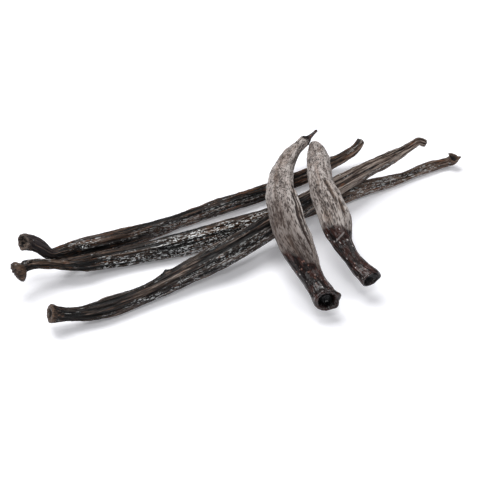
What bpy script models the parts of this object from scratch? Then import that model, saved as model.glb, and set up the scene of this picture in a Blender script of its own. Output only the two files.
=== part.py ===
"""A loose bundle of five cured vanilla pods, lying crossed on a flat surface.

Three long pods lie side by side, one of them crossing over another, and two short
plump pods lie over all three. Each pod is lofted straight along +X, from its foot,
the flared end that it was picked by, to its tip, and is then bent along a guide.
The tables are in millimetres. +X runs to the right along the bundle, seen from the
front, and the origin is the middle of its base.
"""

import math
import random
from dataclasses import dataclass

import bmesh
import bpy
from mathutils import Vector

MM = 0.001

# The section of every pod: ridges and furrows in turn round a slightly slumped oval.
RIDGES = 10
CORNERS = 2 * RIDGES
SPREAD = 1.06  # width across the lying pod, over its girth
SLUMP = 0.92  # height of the lying pod, over its girth
LOBES = 3  # the fruit is grown of three parts
LOBE = 0.035  # how far the lobes stand out, over the radius
CREST_WAVE = 0.025  # how far a ridge swells and sinks along the pod
FURROW_WAVE = 0.25  # how much a furrow's depth changes with it
WAVE_CYCLES = (1.5, 4.0)  # fewest and most swells along a pod
CORNER_DRIFT = 0.09  # unevenness of the ridges' spacing, in radians
RAG_WAVES = (2, 3, 5)  # the waves round a torn rim
FURROW_LEAST = 0.4  # the shallowest furrow over the deepest

# Places along a pod.
RING_GAP = 4.2
END_RINGS = 6  # closer rings beyond the shoulders of each end
END_RING_GAP = 1.5
ROUTE_STEP = 1.5
SHOULDERS = ((0.0, 0.86), (0.5, 0.96), (1.3, 1.0))  # distance from an end, share of girth
FACE_RING = 0.55  # the ring inside an end's face, over the girth there
FACE_SINK = 0.7  # how deep that ring lies, over the depth of the face's middle
FADE_LENGTH = 12.0  # over which the furrows grow from an end
FADE_LEAST = 0.3


@dataclass(frozen=True)
class End:
    """One end of a pod: its face lies in by the depth or, below zero, stands out."""

    depth: float
    ragged: float = 0.0
    slant_side: float = 0.0
    slant_up: float = 0.0


@dataclass(frozen=True)
class Skin:
    """The plain finish of a pod."""

    name: str
    colour: tuple
    roughness: float


@dataclass(frozen=True)
class Pod:
    """Where one pod lies, how thick it is there, and what its ridges and ends are like."""

    name: str
    lie: tuple  # x, y, z of the middle line and the girth there, foot first
    foot: End
    tip: End
    furrow: float  # depth of the deepest furrow over the radius
    twist: float  # degrees that the ridges turn from foot to tip
    seed: int
    skin: Skin


DARK_SKIN = Skin("vanilla_dark", (0.035, 0.022, 0.016), 0.38)
BLOOM_SKIN = Skin("vanilla_bloom", (0.21, 0.175, 0.155), 0.72)

PODS = (
    Pod(
        name="pod_back",
        lie=(
            (-84.8, -23.7, 16.0, 6.8),
            (-81.2, -23.6, 15.2, 6.5),
            (-78.2, -24.6, 13.4, 5.4),
            (-75.0, -24.4, 10.5, 4.4),
            (-71.4, -22.1, 9.3, 5.0),
            (-66.4, -16.6, 6.8, 6.4),
            (-57.8, -13.3, 7.1, 7.1),
            (-50.8, -9.5, 6.2, 7.5),
            (-39.8, -2.2, 4.6, 6.9),
            (-26.0, 6.8, 3.6, 6.1),
            (-6.6, 18.0, 3.7, 7.2),
            (6.0, 25.2, 3.5, 6.8),
            (20.6, 34.6, 3.7, 6.3),
            (35.0, 44.4, 5.0, 5.5),
            (41.6, 48.6, 6.6, 4.5),
            (45.6, 51.6, 8.2, 3.9),
            (47.6, 54.2, 9.8, 3.3),
        ),
        foot=End(depth=1.8, ragged=0.6, slant_side=0.3, slant_up=0.15),
        tip=End(depth=0.4, ragged=0.3, slant_side=0.3),
        furrow=0.17,
        twist=70.0,
        seed=3,
        skin=DARK_SKIN,
    ),
    Pod(
        name="pod_floor",
        lie=(
            (-88.0, -36.2, 12.1, 4.8),
            (-87.0, -36.4, 12.0, 7.0),
            (-85.6, -36.0, 11.8, 7.6),
            (-84.2, -34.2, 11.3, 4.9),
            (-81.8, -31.3, 10.7, 4.2),
            (-77.0, -29.5, 9.9, 4.0),
            (-72.0, -28.1, 8.7, 4.1),
            (-64.8, -26.2, 7.3, 5.8),
            (-57.6, -21.9, 5.4, 7.2),
            (-42.8, -16.2, 4.4, 8.5),
            (-27.8, -11.0, 4.6, 9.8),
            (-10.4, -3.4, 4.7, 10.1),
            (7.4, 6.2, 4.4, 9.4),
            (24.0, 14.8, 3.9, 8.4),
            (43.0, 26.2, 3.3, 7.2),
            (55.8, 33.0, 2.8, 5.6),
            (64.0, 37.8, 2.3, 4.5),
            (72.6, 43.2, 2.5, 4.8),
            (78.0, 46.2, 2.4, 4.9),
            (83.8, 48.2, 2.5, 4.0),
            (86.6, 48.4, 3.3, 4.3),
            (88.0, 48.7, 4.6, 6.0),
        ),
        foot=End(depth=-1.0, ragged=0.15, slant_side=-0.17, slant_up=-0.22),
        tip=End(depth=1.0, ragged=0.5, slant_up=-0.45),
        furrow=0.18,
        twist=-60.0,
        seed=11,
        skin=DARK_SKIN,
    ),
    Pod(
        name="pod_crossing",
        lie=(
            (-72.2, -54.6, 7.4, 7.3),
            (-69.2, -54.0, 6.8, 6.3),
            (-66.2, -53.4, 6.2, 5.4),
            (-61.2, -51.8, 5.0, 5.9),
            (-55.0, -48.8, 4.2, 7.1),
            (-48.2, -45.0, 4.0, 7.6),
            (-37.6, -38.6, 4.2, 7.5),
            (-23.2, -28.8, 5.6, 9.0),
            (-15.8, -24.2, 6.6, 10.0),
            (-8.2, -19.2, 7.8, 10.4),
            (3.2, -10.0, 9.2, 10.2),
            (19.2, 4.4, 10.8, 9.5),
            (36.2, 19.3, 11.4, 8.3),
            (48.0, 30.7, 11.0, 7.0),
            (59.0, 39.4, 11.3, 5.8),
            (64.2, 43.2, 12.0, 4.4),
            (68.2, 47.0, 12.3, 3.7),
            (71.4, 49.8, 12.4, 3.3),
            (74.4, 49.9, 11.3, 3.2),
        ),
        foot=End(depth=1.3, ragged=0.5, slant_side=0.25),
        tip=End(depth=-0.5),
        furrow=0.18,
        twist=55.0,
        seed=27,
        skin=DARK_SKIN,
    ),
    Pod(
        name="pod_top_left",
        lie=(
            (27.2, -48.0, 7.9, 11.2),
            (24.9, -44.6, 9.1, 8.4),
            (23.0, -41.4, 10.6, 8.2),
            (21.0, -38.6, 12.4, 9.0),
            (18.8, -35.0, 15.4, 10.5),
            (15.8, -30.2, 19.2, 11.9),
            (13.8, -24.4, 21.6, 12.5),
            (12.6, -16.3, 22.6, 12.2),
            (11.4, -4.5, 21.1, 11.4),
            (11.8, 12.7, 16.6, 10.0),
            (13.8, 32.4, 10.9, 8.3),
            (17.6, 43.2, 10.6, 6.3),
            (20.6, 48.7, 10.6, 5.0),
            (22.6, 51.3, 11.2, 4.2),
            (24.2, 52.7, 11.6, 2.6),
            (25.6, 53.9, 12.2, 1.8),
            (28.3, 56.4, 13.6, 1.2),
        ),
        foot=End(depth=2.4, ragged=0.25, slant_side=-0.15, slant_up=0.35),
        tip=End(depth=-0.3),
        furrow=0.08,
        twist=25.0,
        seed=41,
        skin=BLOOM_SKIN,
    ),
    Pod(
        name="pod_top_right",
        lie=(
            (44.8, -36.9, 9.0, 8.7),
            (40.0, -33.4, 10.6, 6.7),
            (37.3, -30.2, 12.6, 5.9),
            (34.0, -25.6, 15.6, 7.5),
            (31.8, -20.2, 19.0, 10.2),
            (30.8, -14.8, 21.0, 11.1),
            (29.2, -6.8, 22.0, 10.9),
            (27.8, 1.1, 21.6, 10.1),
            (27.2, 13.6, 20.0, 9.5),
            (28.0, 34.0, 13.3, 9.2),
            (28.0, 45.2, 10.6, 7.2),
            (27.0, 50.8, 9.4, 4.9),
            (26.0, 52.9, 8.7, 2.3),
        ),
        foot=End(depth=2.0, ragged=0.25, slant_side=-0.15, slant_up=0.3),
        tip=End(depth=-0.5),
        furrow=0.08,
        twist=-30.0,
        seed=58,
        skin=BLOOM_SKIN,
    ),
)


def clear_scene():
    """Removes every object that the file starts with."""
    for obj in list(bpy.data.objects):
        bpy.data.objects.remove(obj)


def chord(start, end):
    """The distance between two stations, whose fourth number is a girth."""
    return (Vector(end[:3]) - Vector(start[:3])).length


def smooth_lie(stations):
    """Stations a step apart on a smooth curve through the given ones (Catmull-Rom, by chord length)."""
    knots = [Vector(station) for station in stations]
    padded = [2 * knots[0] - knots[1], *knots, 2 * knots[-1] - knots[-2]]
    smooth = []
    for before, start, end, after in zip(padded, padded[1:], padded[2:], padded[3:]):
        lead, span, trail = chord(before, start), chord(start, end), chord(end, after)
        leaving = ((start - before) / lead + (end - start) / span) * 0.5
        arriving = ((end - start) / span + (after - end) / trail) * 0.5
        steps = max(1, round(span / ROUTE_STEP))
        for i in range(steps):
            t = i / steps
            smooth.append(
                (2 * t**3 - 3 * t**2 + 1) * start
                + (t**3 - 2 * t**2 + t) * span * leaving
                + (3 * t**2 - 2 * t**3) * end
                + (t**3 - t**2) * span * arriving
            )
    return [*smooth, knots[-1]]


class Lie:
    """The smoothed middle line of a pod, and its girth at a distance from the foot."""

    def __init__(self, stations):
        self.stations = smooth_lie(stations)
        self.distances = [0.0]
        for start, end in zip(self.stations, self.stations[1:]):
            self.distances.append(self.distances[-1] + chord(start, end))
        self.length = self.distances[-1]

    def girth(self, distance):
        """The girth at a distance from the foot."""
        for i, reached in enumerate(self.distances[1:], start=1):
            if distance <= reached:
                t = (distance - self.distances[i - 1]) / (reached - self.distances[i - 1])
                return self.stations[i - 1][3] * (1 - t) + self.stations[i][3] * t
        return self.stations[-1][3]


class Ridges:
    """The ridges and furrows of one pod, which wander, deepen and fade along it."""

    def __init__(self, pod, length):
        draw = random.Random(pod.seed)
        self.length = length
        self.depth = pod.furrow
        self.twist = math.radians(pod.twist)
        self.drifts = [draw.uniform(-CORNER_DRIFT, CORNER_DRIFT) for _ in range(CORNERS)]
        self.depths = [draw.uniform(FURROW_LEAST, 1.0) for _ in range(CORNERS)]
        self.cycles = [draw.uniform(*WAVE_CYCLES) for _ in range(CORNERS)]
        self.starts = [draw.uniform(0, math.tau) for _ in range(CORNERS)]
        self.rag_starts = [draw.uniform(0, math.tau) for _ in RAG_WAVES]

    def corner(self, i, distance):
        """The angle of a corner, and its radius over the mean radius, at a distance from the foot."""
        share = distance / self.length
        grown = min(distance, self.length - distance) / FADE_LENGTH
        fade = FADE_LEAST + (1 - FADE_LEAST) * max(0.0, min(1.0, grown))
        angle = math.tau * i / CORNERS + self.drifts[i]
        wave = math.sin(self.cycles[i] * math.tau * share + self.starts[i])
        reach = 1 + LOBE * fade * math.cos(LOBES * angle) + CREST_WAVE * fade * wave
        if i % 2:
            reach -= self.depth * fade * self.depths[i] * (1 - FURROW_WAVE + FURROW_WAVE * wave)
        return angle + self.twist * share, reach

    def rag(self, i):
        """How far the torn rim stands in or out at a corner, from about -1 to 1."""
        angle = math.tau * i / CORNERS
        waves = zip(RAG_WAVES, self.rag_starts)
        return sum(math.sin(times * angle + start) for times, start in waves) / len(RAG_WAVES)


def ring_places(length):
    """Distances of the rings from the foot, closer at the shoulders of both ends."""
    ends = [distance for distance, _ in SHOULDERS]
    ends += [ends[-1] + END_RING_GAP * i for i in range(1, END_RINGS + 1)]
    between = length - 2 * ends[-1]
    count = round(between / RING_GAP)
    body = [ends[-1] + between * i / count for i in range(1, count)]
    return [*ends, *body, *(length - distance for distance in reversed(ends))]


def shoulder(distance):
    """How far an end has rounded off, at a distance from it, as a share of the girth."""
    for (near, first), (far, second) in zip(SHOULDERS, SHOULDERS[1:]):
        if distance <= far:
            return first + (second - first) * (distance - near) / (far - near)
    return 1.0


def end_shift(end, across, height, rag, distance, girth):
    """How far a corner near an end moves into the pod, dying away over half a girth."""
    lean = end.slant_side * across + end.slant_up * height + end.ragged * rag
    return lean * max(0.0, 1 - distance / (girth / 2))


def add_ring(bm, pod, lie, ridges, place, scale=1.0, sink=0.0):
    """One ring of corners of the straight pod; sink moves a face's ring along the pod."""
    girth = lie.girth(place)
    left = lie.length - place
    radius = girth / 2 * scale * shoulder(place) * shoulder(left)
    corners = []
    for i in range(CORNERS):
        angle, reach = ridges.corner(i, place)
        across = radius * reach * SPREAD * math.cos(angle)
        height = radius * reach * SLUMP * math.sin(angle)
        along = place + end_shift(pod.foot, across, height, ridges.rag(i), place, girth)
        along -= end_shift(pod.tip, across, height, ridges.rag(i), left, girth)
        corners.append(bm.verts.new((along + sink, across, height)))
    return corners


def join_rings(bm, first, second):
    """Quads between two rings of corners."""
    for a, b, c, d in zip(first, first[1:] + first[:1], second[1:] + second[:1], second):
        bm.faces.new((a, d, c, b))


def close_end(bm, ring, middle):
    """A fan of triangles from an end's last ring to the middle of its face."""
    centre = bm.verts.new(middle)
    for a, b in zip(ring, ring[1:] + ring[:1]):
        bm.faces.new((a, b, centre))


def straight_pod(pod, lie):
    """The pod's mesh before it is bent, with its foot at the origin."""
    bm = bmesh.new()
    ridges = Ridges(pod, lie.length)
    rings = [add_ring(bm, pod, lie, ridges, 0.0, FACE_RING, pod.foot.depth * FACE_SINK)]
    rings += [add_ring(bm, pod, lie, ridges, place) for place in ring_places(lie.length)]
    rings.append(add_ring(bm, pod, lie, ridges, lie.length, FACE_RING, -pod.tip.depth * FACE_SINK))
    for first, second in zip(rings, rings[1:]):
        join_rings(bm, first, second)
    close_end(bm, rings[0], (pod.foot.depth, 0, 0))
    close_end(bm, rings[-1], (lie.length - pod.tip.depth, 0, 0))
    bmesh.ops.recalc_face_normals(bm, faces=bm.faces)
    bmesh.ops.scale(bm, vec=(MM, MM, MM), verts=bm.verts)
    mesh = bpy.data.meshes.new(pod.name)
    bm.to_mesh(mesh)
    bm.free()
    mesh.shade_smooth()
    return mesh


def guide_for(pod, lie):
    """The curve that the pod is bent along, kept out of the render."""
    curve = bpy.data.curves.new(pod.name + "_guide", "CURVE")
    curve.dimensions = "3D"
    curve.twist_mode = "Z_UP"
    spline = curve.splines.new("POLY")
    spline.points.add(len(lie.stations) - 1)
    for point, station in zip(spline.points, lie.stations):
        point.co = (*(MM * value for value in station[:3]), 1.0)
    guide = bpy.data.objects.new(curve.name, curve)
    guide.hide_render = True
    guide.display_type = "WIRE"
    bpy.context.collection.objects.link(guide)
    return guide


def skin_material(skin):
    """A plain material of the pod's colour and gloss."""
    material = bpy.data.materials.get(skin.name) or bpy.data.materials.new(skin.name)
    material.use_nodes = True
    shader = material.node_tree.nodes["Principled BSDF"]
    shader.inputs["Base Color"].default_value = (*skin.colour, 1.0)
    shader.inputs["Roughness"].default_value = skin.roughness
    shader.inputs["Metallic"].default_value = 0.0
    return material


def add_pod(pod):
    """One pod, lying where it lies in the bundle."""
    lie = Lie(pod.lie)
    mesh = straight_pod(pod, lie)
    mesh.materials.append(skin_material(pod.skin))
    obj = bpy.data.objects.new(pod.name, mesh)
    bpy.context.collection.objects.link(obj)
    bend = obj.modifiers.new("Bend", "CURVE")
    bend.object = guide_for(pod, lie)
    bend.deform_axis = "POS_X"
    return obj


def main():
    """Builds the bundle."""
    clear_scene()
    for pod in PODS:
        add_pod(pod)


main()
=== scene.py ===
"""The looks of a loose bundle of cured vanilla pods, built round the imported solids.

Every pod is modelled straight along +X, from its foot, the end nearer the camera, to its tip: a
ring is extruded along it, columns of corners are drawn in as furrows, the ends are cupped, capped
or rounded, and the skin is wrinkled. The pod is then bent along the middle line that its solid
lies on. Tables and skin patterns are in millimetres, and meshes are in metres.
"""

import logging
import math
import random
from collections.abc import Iterable, Iterator
from contextlib import contextmanager
from dataclasses import dataclass, fields
from enum import Enum
from itertools import product

import bmesh
import bpy
import numpy as np
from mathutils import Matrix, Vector


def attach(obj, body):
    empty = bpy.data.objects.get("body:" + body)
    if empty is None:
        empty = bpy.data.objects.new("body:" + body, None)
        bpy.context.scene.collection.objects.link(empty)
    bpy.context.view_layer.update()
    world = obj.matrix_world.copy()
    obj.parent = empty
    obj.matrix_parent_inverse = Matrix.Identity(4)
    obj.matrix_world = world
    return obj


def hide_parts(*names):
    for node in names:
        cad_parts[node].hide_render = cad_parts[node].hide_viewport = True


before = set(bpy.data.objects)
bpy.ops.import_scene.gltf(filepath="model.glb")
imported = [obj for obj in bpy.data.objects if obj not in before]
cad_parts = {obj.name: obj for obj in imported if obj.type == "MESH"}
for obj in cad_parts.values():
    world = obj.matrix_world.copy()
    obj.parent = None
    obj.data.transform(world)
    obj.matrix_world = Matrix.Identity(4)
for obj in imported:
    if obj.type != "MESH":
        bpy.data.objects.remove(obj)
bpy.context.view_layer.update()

log = logging.getLogger("vanilla")

MM = 0.001

# The camera, at the photograph's angle.
CAMERA_TARGET = Vector((-4.5, -2.5, 0.0))
CAMERA_DISTANCE = 448.0
CAMERA_ELEVATION = math.radians(38.0)
CAMERA_LENS = 85.0
CAMERA_SENSOR = 36.0

# The section of every pod, in shares of its radius.
RIDGES = 10
FURROW_FORM = (0.0, 0.4, 1.0, 0.4)  # how deep each corner of a ridge and its furrow is
FURROW_LEAST = 0.4  # the shallowest furrow, over the deepest
CORNERS = RIDGES * len(FURROW_FORM)
SPREAD = 1.06
SLUMP = 0.92
LOBES = 3
LOBE = 0.035
FADE_PLACES = (3.0, 6.0, 10.0)  # the steps from an end to the furrows' full depth

# Rings along a pod, and what is done to them.
RING_GAP = 2.2
ROUTE_STEP = 1.0  # between the points of a middle line
TURN_RINGS = 3  # over which an end is turned
FOLD_TAPERS = (0.0, 2.5, 5.0)  # the steps from a fold's end to its full depth
# From and to how many corners off a fold's middle, and how far in, over the fold's depth.
FOLD_STRIPS = ((0.0, 0.5, 1.0), (0.5, 2.5, -0.3))
SMOOTH_LEVELS = 2

# Wrinkles, and the relief that the skins read to paint raised skin lighter and sunken skin darker, as
# painted light and shade.
LOOSE_SKIN = "loose_skin"
END_STIFFNESS = 0.7  # how much less a hollow or a rim is wrinkled
SEED_SHIFT = 0.37  # how far along the noise the wrinkles are, for each seed and each scale
SCALE_SHIFT = 1.9
SHARP_LEVEL = 0.42  # the noise that leaves the skin where it is
SOFT_LEVEL = 0.5
RELIEF_MIDDLE = 0.05  # millimetres
RELIEF_RANGE = 0.8

# Stretches over which a skin changes.
SHADE_LENGTH = 55.0  # a bloomed skin gets darker
DUST_FADE = 20.0
SHINE_FADE = 9.0
SHINE_EDGE = 0.12  # of the cosine of the angle round the pod
GREY_FADE = 6.0
SCRATCH_FADE = 0.8

# How far the patterns sway from straight lines, and how quickly.
SWAY = 0.7
SWAY_SCALE = 0.7

Station = tuple[float, float, float, float]
Colour = tuple[float, float, float, float]


def linear(red: int, green: int, blue: int) -> Colour:
    """A colour as it is seen in the photograph, from 0 to 255, as linear light."""
    return tuple((c / 255.0) ** 2.2 for c in (red, green, blue)) + (1.0,)


def chord(start: Vector, end: Vector) -> float:
    """The distance between two stations, whose fourth number is a girth."""
    return (Vector(end[:3]) - Vector(start[:3])).length


class MiddleLine:
    """The smooth line along the middle of a pod, and the girth of the pod along it."""

    def __init__(self, stations: tuple[Station, ...]) -> None:
        """Smooths the stations.

        Args:
            stations: x, y, z and girth in millimetres, foot first.
        """
        self.points = self._smooth([Vector(station) for station in stations])
        self.reached = [0.0]
        for start, end in zip(self.points, self.points[1:]):
            self.reached.append(self.reached[-1] + chord(start, end))
        self.length = self.reached[-1]

    @staticmethod
    def _smooth(knots: list[Vector]) -> list[Vector]:
        """Points a step apart on a smooth curve through the knots.

        Args:
            knots: the stations as vectors of four numbers.

        Returns:
            The smooth curve's points, of four numbers each.
        """
        padded = [2 * knots[0] - knots[1], *knots, 2 * knots[-1] - knots[-2]]
        smooth = []
        for before, start, end, after in zip(padded, padded[1:], padded[2:], padded[3:]):
            lead, span, trail = chord(before, start), chord(start, end), chord(end, after)
            leaving = ((start - before) / lead + (end - start) / span) * 0.5
            arriving = ((end - start) / span + (after - end) / trail) * 0.5
            steps = max(1, round(span / ROUTE_STEP))
            for i in range(steps):
                t = i / steps
                smooth.append(
                    (2 * t**3 - 3 * t**2 + 1) * start
                    + (t**3 - 2 * t**2 + t) * span * leaving
                    + (3 * t**2 - 2 * t**3) * end
                    + (t**3 - t**2) * span * arriving
                )
        return [*smooth, knots[-1]]

    def girth(self, place: float) -> float:
        """The girth at a distance from the foot, in millimetres."""
        return float(np.interp(place, self.reached, [point[3] for point in self.points]))

    def curve(self, name: str) -> bpy.types.Object:
        """A curve object along the line, to bend a straight pod along.

        Args:
            name: its name.

        Returns:
            The curve object.
        """
        curve = bpy.data.curves.new(name, "CURVE")
        curve.dimensions = "3D"
        curve.twist_mode = "Z_UP"
        spline = curve.splines.new("POLY")
        spline.points.add(len(self.points) - 1)
        for point, station in zip(spline.points, self.points):
            point.co = (*(MM * value for value in station[:3]), 1.0)
        guide = bpy.data.objects.new(name, curve)
        bpy.context.scene.collection.objects.link(guide)
        return guide


@dataclass(frozen=True)
class Ring:
    """One ring of an end: how far in from the end it is, and its share of the girth there.

    Hollow and rim say how much of the skin there looks like the inside of a hollow and its rim; the hollow
    is painted near black, as painted shade.
    """

    inward: float
    share: float
    hollow: float = 0.0
    rim: float = 0.0


@dataclass(frozen=True)
class Pull:
    """A spot of the skin pulled into a lump or pushed into a notch, in millimetres.

    The angle runs round the pod, from 0 at its side through 90 at its top, in degrees. The spot
    is that far in from the end, and what lies within reach of it follows.
    """

    angle: float
    inward: float
    outward: float
    along: float
    reach: float


@dataclass(frozen=True)
class Fold:
    """A deep fold along a stretch of a pod, from start to end in millimetres from the foot."""

    start: float
    end: float
    angle: float
    depth: float  # over the radius


@dataclass(frozen=True)
class PodEnd:
    """The form of one end of a pod.

    Its face is turned to the side and up by those degrees.
    """

    rings: tuple[Ring, ...]
    pulls: tuple[Pull, ...] = ()
    turn_side: float = 0.0
    turn_up: float = 0.0
    bumpy: float = 0.1


def cup(depth: float, wall: float) -> tuple[Ring, ...]:
    """The rings of a hollow end with rounded lips.

    Args:
        depth: how deep the hollow is, in millimetres.
        wall: how thick its lips are, as a share of the radius.

    Returns:
        Its rings, from the middle of the hollow out over the lips.
    """
    inner = 1.0 - wall
    return (
        Ring(depth, 0.12 * inner, hollow=1.0),
        Ring(depth * 0.96, 0.4 * inner, hollow=1.0),
        Ring(depth * 0.8, 0.75 * inner, hollow=1.0),
        Ring(depth * 0.45, 0.96 * inner, hollow=0.9),
        Ring(depth * 0.12, 1.04 * inner + 0.1 * wall, hollow=0.5, rim=0.5),
        Ring(-0.15, 1.0 - 0.62 * wall, rim=1.0),
        Ring(-0.25, 1.0 - 0.35 * wall, rim=1.0),
        Ring(0.0, 1.0 - 0.08 * wall, rim=1.0),
        Ring(0.6, 1.0, rim=0.5),
        Ring(1.4, 1.0, rim=0.1),
    )


def blunt(bulge: float) -> tuple[Ring, ...]:
    """The rings of a rounded, dried-shut end.

    Args:
        bulge: how far its middle stands out, in millimetres.

    Returns:
        Its rings, from the middle out.
    """
    return (
        Ring(-bulge, 0.14, rim=0.6),
        Ring(-bulge * 0.86, 0.4, rim=0.6),
        Ring(-bulge * 0.5, 0.68, rim=0.5),
        Ring(-bulge * 0.1, 0.86, rim=0.3),
        Ring(0.35, 0.96, rim=0.1),
        Ring(1.0, 1.0),
    )


CAPPED_KNOB = (
    Ring(-0.7, 0.3, rim=0.3),
    Ring(-0.6, 0.65, rim=0.3),
    Ring(-0.2, 0.95, rim=0.4),
    Ring(0.4, 1.12, rim=0.4),
    Ring(1.2, 1.18, rim=0.6),
    Ring(2.0, 1.12, rim=1.0),
    Ring(2.7, 0.95, rim=1.0),
    Ring(3.3, 0.8, rim=0.5),
    Ring(3.9, 0.8),
    Ring(4.6, 0.92),
)


@dataclass(frozen=True)
class Wrinkle:
    """One scale of wrinkles in the skin, in millimetres; sharp ones are creased in their valleys."""

    length: float
    width: float
    height: float
    sharp: bool = True


LONG_WRINKLES = (
    Wrinkle(18.0, 4.0, 0.6, sharp=False),
    Wrinkle(30.0, 1.1, 0.85),
    Wrinkle(8.0, 0.7, 0.4),
    Wrinkle(2.2, 0.8, 0.2),
)
PLUMP_WRINKLES = (
    Wrinkle(11.0, 5.0, 0.8, sharp=False),
    Wrinkle(12.0, 1.6, 0.36),
    Wrinkle(4.0, 0.7, 0.24),
)


@dataclass(frozen=True)
class Streaks:
    """Noise drawn out along the pod. Lengths and widths of all patterns are in millimetres."""

    length: float
    width: float
    shift: float  # to a part of the noise of its own
    detail: float = 2.0


@dataclass(frozen=True)
class Specks:
    """Separate specks drawn out along the pod, of uneven size, in a share of the cells."""

    length: float
    width: float
    shift: float
    size: float
    share: float


@dataclass(frozen=True)
class Creases:
    """Thin lines along the pod, where drawn-out noise passes its middle value."""

    length: float
    width: float
    shift: float
    line: float


@dataclass(frozen=True)
class Shine:
    """A patch of a pod that is glossier and carries painted glints (painted highlights).

    It runs from start to end, in millimetres from the foot, on the side at that angle.
    """

    start: float
    end: float
    angle: float
    spread: float
    amount: float = 1.0


@dataclass(frozen=True)
class Scratch:
    """A thin scratch, from start to end: how far from the foot and to the side, in millimetres."""

    start: tuple[float, float]
    end: tuple[float, float]
    width: float


class Signal:
    """What a node puts out, with the arithmetic of numbers."""

    def __init__(self, graph: "Graph", socket: bpy.types.NodeSocket) -> None:
        """Keeps the socket and the graph that it is in."""
        self.graph = graph
        self.socket = socket

    def __add__(self, other: "Signal | float") -> "Signal":
        """The sum of the two."""
        return self.graph.math("ADD", self, other)

    def __sub__(self, other: "Signal | float") -> "Signal":
        """The other taken from this one."""
        return self.graph.math("SUBTRACT", self, other)

    def __rsub__(self, other: float) -> "Signal":
        """This one taken from a number."""
        return self.graph.math("SUBTRACT", other, self)

    def __mul__(self, other: "Signal | float") -> "Signal":
        """The product of the two."""
        return self.graph.math("MULTIPLY", self, other)

    def __truediv__(self, other: "Signal | float") -> "Signal":
        """This one over the other."""
        return self.graph.math("DIVIDE", self, other)

    def most(self, other: "Signal") -> "Signal":
        """The larger of the two."""
        return self.graph.math("MAXIMUM", self, other)

    def clamped(self) -> "Signal":
        """This one kept between 0 and 1."""
        return self.graph.signals("ShaderNodeClamp", {"Value": self})[0]

    def ease(self, low: float, high: float) -> "Signal":
        """This one eased from 0 at low to 1 at high."""
        inputs = {"Value": self, "From Min": low, "From Max": high}
        return self.graph.signals("ShaderNodeMapRange", inputs, interpolation_type="SMOOTHSTEP")[0]


class Graph:
    """A short way to add shader nodes and to wire them."""

    def __init__(self, tree: bpy.types.NodeTree) -> None:
        """Keeps the tree that the nodes go in."""
        self.tree = tree

    def feed(self, node: bpy.types.Node, inputs: dict) -> None:
        """Wires or sets some inputs of a node.

        Args:
            node: the node.
            inputs: signals or plain values, by input name or number.
        """
        for key, value in inputs.items():
            if isinstance(value, Signal):
                self.tree.links.new(value.socket, node.inputs[key])
            else:
                node.inputs[key].default_value = value

    def add(self, kind: str, inputs: dict | None = None, **settings: object) -> bpy.types.Node:
        """Adds a node.

        Args:
            kind: its Blender type.
            inputs: signals or plain values, by input name or number.
            settings: properties of the node.

        Returns:
            The node.
        """
        node = self.tree.nodes.new(kind)
        for key, value in settings.items():
            setattr(node, key, value)
        self.feed(node, inputs or {})
        return node

    def signals(self, kind: str, inputs: dict | None = None, **settings: object) -> list[Signal]:
        """Everything that a new node puts out, in its order."""
        return [Signal(self, socket) for socket in self.add(kind, inputs, **settings).outputs]

    def dress(self, inputs: dict) -> None:
        """Feeds the material's shader."""
        self.feed(self.tree.nodes["Principled BSDF"], inputs)

    def math(self, operation: str, *values: object) -> Signal:
        """A Math node of the given operation."""
        return self.signals("ShaderNodeMath", dict(enumerate(values)), operation=operation)[0]

    def vector(self, operation: str, *values: object) -> Signal:
        """A Vector Math node of the given operation."""
        return self.signals("ShaderNodeVectorMath", dict(enumerate(values)), operation=operation)[0]

    def dot(self, first: object, second: object) -> Signal:
        """The dot product of two vectors."""
        return self.signals("ShaderNodeVectorMath", {0: first, 1: second}, operation="DOT_PRODUCT")[1]

    def noise(self, place: Signal, detail: object) -> Signal:
        """Noise with features about one unit long."""
        return self.signals("ShaderNodeTexNoise", {"Vector": place, "Scale": 1.0, "Detail": detail})[0]

    def mix(self, factor: object, first: object, second: object) -> Signal:
        """A mix of two colours."""
        inputs = {0: factor, 6: first, 7: second}
        return self.signals("ShaderNodeMix", inputs, data_type="RGBA")[2]

    def ramp(self, value: Signal, stops: tuple[tuple[float, Colour], ...]) -> Signal:
        """A colour ramp.

        Args:
            value: where on the ramp.
            stops: places from 0 to 1 and their colours.

        Returns:
            The ramp's colour there.
        """
        node = self.add("ShaderNodeValToRGB", {0: value})
        while len(node.color_ramp.elements) < len(stops):
            node.color_ramp.elements.new(1.0)
        for element, (place, colour) in zip(node.color_ramp.elements, stops):
            element.position = place
            element.color = colour
        return Signal(self, node.outputs[0])

    def attribute(self, name: str, output: str = "Fac") -> Signal:
        """An attribute that the mesh carries."""
        return Signal(self, self.add("ShaderNodeAttribute", attribute_name=name).outputs[output])


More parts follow.
